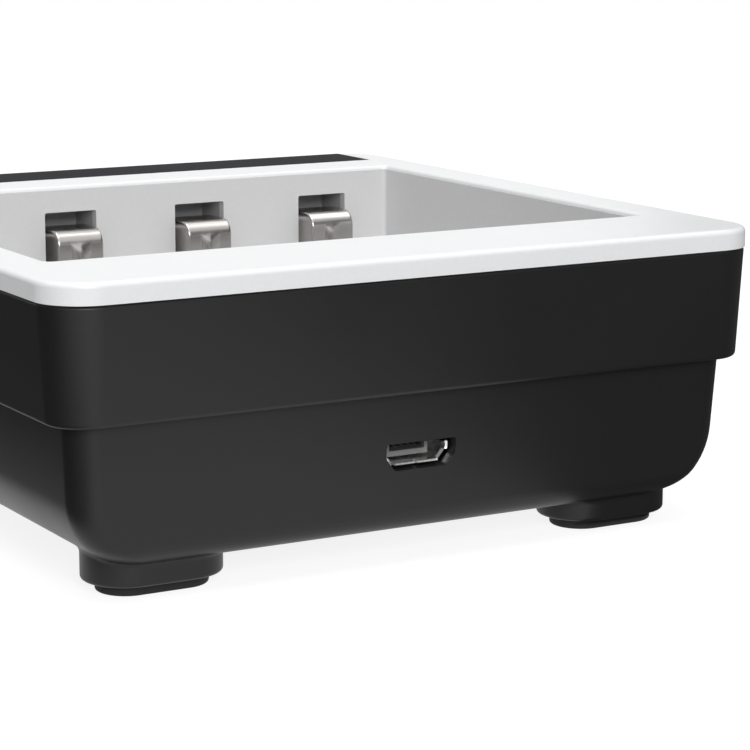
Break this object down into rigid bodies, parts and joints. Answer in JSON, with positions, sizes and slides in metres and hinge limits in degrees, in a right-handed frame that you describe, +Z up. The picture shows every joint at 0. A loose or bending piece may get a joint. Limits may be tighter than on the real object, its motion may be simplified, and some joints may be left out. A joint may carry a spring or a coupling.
{
  "type": "cell charger",
  "caption": "Desktop charger for AA cells: white cover and tray with round-bottomed bays, folded leaf contacts, a dark indicator strip, black housing with a micro-USB inlet, rubber feet.",
  "frame": {"origin": "middle of the outline, on the plane that the foot pads stand on", "axes": "+X to the right of the face with the inlet, +Y from the inlet face to the indicator strip, +Z up"},
  "size_m": [0.082, 0.0882, 0.0327],
  "materials": {
    "white_gloss_plastic": "satin",
    "white_satin_plastic": "satin",
    "black_upper_plastic": "fine matt",
    "black_lower_plastic": "fine matt",
    "smoked_strip_plastic": "satin",
    "pad_rubber": "matt",
    "nickel_plated_steel": "bright rolled",
    "board_laminate": "solder resist",
    "socket_shell_steel": "bright",
    "socket_tongue_plastic": "matt",
    "finger_gold": "plated",
    "screw_steel": "zinc plated",
    "guide_acrylic": "clear",
    "lamp_resin": "clear",
    "chip_epoxy": "matt",
    "ferrite": "sintered",
    "capacitor_sleeve": "satin"
  },
  "bodies": {
    "root": {"top_cover": "white_gloss_plastic", "battery_tray": "white_satin_plastic", "upper_housing": "black_upper_plastic", "lower_housing": "black_lower_plastic", "indicator_strip": "smoked_strip_plastic", "foot_pad_near_left": "pad_rubber", "foot_pad_near_right": "pad_rubber", "foot_pad_far_left": "pad_rubber", "foot_pad_far_right": "pad_rubber", "fixed_contact_1": "nickel_plated_steel", "fixed_contact_2": "nickel_plated_steel", "fixed_contact_3": "nickel_plated_steel", "fixed_contact_4": "nickel_plated_steel", "circuit_board": "board_laminate", "usb_shell": "socket_shell_steel", "usb_tongue": "socket_tongue_plastic", "usb_finger_1": "finger_gold", "usb_finger_2": "finger_gold", "usb_finger_3": "finger_gold", "usb_finger_4": "finger_gold", "usb_finger_5": "finger_gold", "housing_screw_near_left": "screw_steel", "housing_screw_near_right": "screw_steel", "housing_screw_far_left": "screw_steel", "housing_screw_far_right": "screw_steel", "light_guide_1": "guide_acrylic", "light_guide_2": "guide_acrylic", "light_guide_3": "guide_acrylic", "light_guide_4": "guide_acrylic", "status_lamp_1": "lamp_resin", "status_lamp_2": "lamp_resin", "status_lamp_3": "lamp_resin", "status_lamp_4": "lamp_resin", "charge_controller": "chip_epoxy", "pass_transistor_1": "chip_epoxy", "pass_transistor_2": "chip_epoxy", "pass_transistor_3": "chip_epoxy", "pass_transistor_4": "chip_epoxy", "power_inductor": "ferrite", "input_capacitor": "capacitor_sleeve"},
    "spring_leaf_1": {"spring_contact_1": "nickel_plated_steel"},
    "spring_leaf_2": {"spring_contact_2": "nickel_plated_steel"},
    "spring_leaf_3": {"spring_contact_3": "nickel_plated_steel"},
    "spring_leaf_4": {"spring_contact_4": "nickel_plated_steel"}
  },
  "joints": [
    {"name": "spring_contact_1_flex", "type": "hinge", "parent": "root", "child": "spring_leaf_1", "pos_m": [-0.02604, 0.0319, 0.01052], "axis": [-1, 0, 0], "range_deg": [0, 6], "stiffness_Nm_per_rad": 0.3, "springref_deg": -0.57},
    {"name": "spring_contact_2_flex", "type": "hinge", "parent": "root", "child": "spring_leaf_2", "pos_m": [-0.00868, 0.0319, 0.01052], "axis": [-1, 0, 0], "range_deg": [0, 6], "stiffness_Nm_per_rad": 0.3, "springref_deg": -0.57},
    {"name": "spring_contact_3_flex", "type": "hinge", "parent": "root", "child": "spring_leaf_3", "pos_m": [0.00868, 0.0319, 0.01052], "axis": [-1, 0, 0], "range_deg": [0, 6], "stiffness_Nm_per_rad": 0.3, "springref_deg": -0.57},
    {"name": "spring_contact_4_flex", "type": "hinge", "parent": "root", "child": "spring_leaf_4", "pos_m": [0.02604, 0.0319, 0.01052], "axis": [-1, 0, 0], "range_deg": [0, 6], "stiffness_Nm_per_rad": 0.3, "springref_deg": -0.57}
  ]
}
